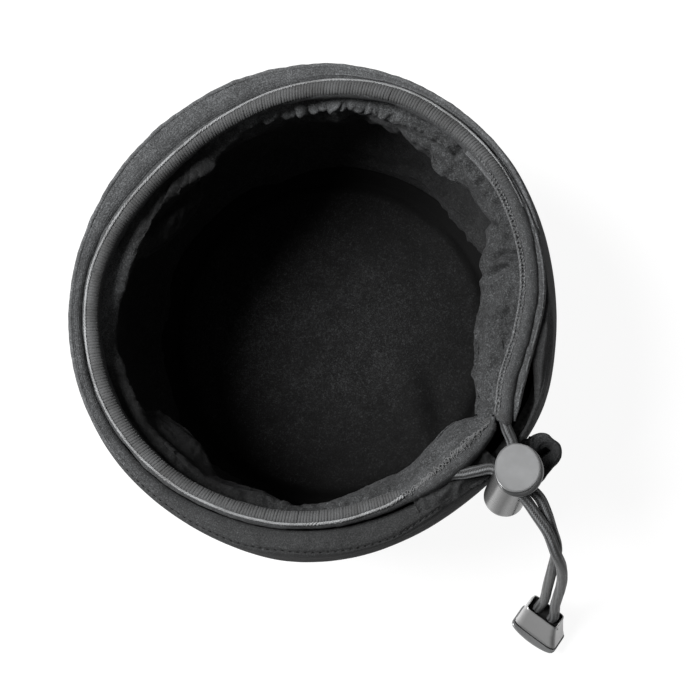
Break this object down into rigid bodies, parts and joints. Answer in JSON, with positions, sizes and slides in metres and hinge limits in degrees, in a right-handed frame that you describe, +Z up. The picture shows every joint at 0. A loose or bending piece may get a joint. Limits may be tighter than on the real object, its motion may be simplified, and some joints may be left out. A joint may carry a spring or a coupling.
{
  "type": "slip-on lens cover",
  "caption": "Padded round fabric cover that slips over the front of a long lens, with a drawcord hem, a sprung cord lock and a bell cord end.",
  "frame": {"origin": "centre of the outside of the closed front disc, on which the cover stands", "axes": "+Z up out of the mouth along the cover's axis; the drawcord leaves the hem on the -Y side; +X to the right when looking at the cord exit from outside"},
  "size_m": [0.1695, 0.22, 0.097],
  "materials": {
    "outer_fabric": "matt woven polyester, black",
    "fleece_lining": "brushed fleece, black",
    "padding": "soft open padding, hidden",
    "stiffener_board": "plain sheet, hidden",
    "sewing_thread": "slightly shiny polyester thread, dark grey",
    "elastic_cord": "ribbed textile sheath over elastic, dark grey",
    "satin_plastic": "satin moulded plastic, grey-black",
    "spring_steel": "drawn wire",
    "tab_webbing": "matt woven strip, black"
  },
  "bodies": {
    "cover": {"front_panel_shell": "outer_fabric", "front_panel_seam": "sewing_thread", "front_stiffener": "stiffener_board", "front_foam": "padding", "front_panel_lining": "fleece_lining", "side_wall_shell": "outer_fabric", "side_wall_foam": "padding", "side_wall_lining": "fleece_lining", "hem_casing": "outer_fabric", "drawcord_hem_run": "elastic_cord", "hem_overlock_band": "sewing_thread", "casing_bartack_right": "sewing_thread", "casing_bartack_left": "sewing_thread", "drawcord_left_tail": "elastic_cord", "drawcord_right_tail": "elastic_cord", "cord_end_body": "satin_plastic", "cord_knot": "elastic_cord", "pull_tab": "tab_webbing", "pull_tab_stitching": "sewing_thread"},
    "cord_lock": {"cord_lock_barrel": "satin_plastic", "cord_lock_spring": "spring_steel"},
    "lock_button": {"cord_lock_button": "satin_plastic"},
    "cord_end_flap": {"cord_end_cap": "satin_plastic"}
  },
  "joints": [
    {"name": "lock_slide", "type": "hinge", "parent": "cover", "child": "cord_lock", "pos_m": [-0.02069, -0.09083, 0.05941], "axis": [0.8569, -0.2457, -0.453], "range_deg": [0, 25]},
    {"name": "button_press", "type": "slide", "parent": "cord_lock", "child": "lock_button", "axis": [-0.4895, -0.113, -0.8646], "range_m": [0, 0.0018], "stiffness_N_per_m": 1000, "springref_m": -0.002, "deforming": ["cord_lock_spring"]},
    {"name": "cord_end_flap_hinge", "type": "hinge", "parent": "cover", "child": "cord_end_flap", "pos_m": [-0.03426, -0.12683, 0.00262], "axis": [0.024, -0.9988, 0.0438], "range_deg": [0, 75]}
  ]
}
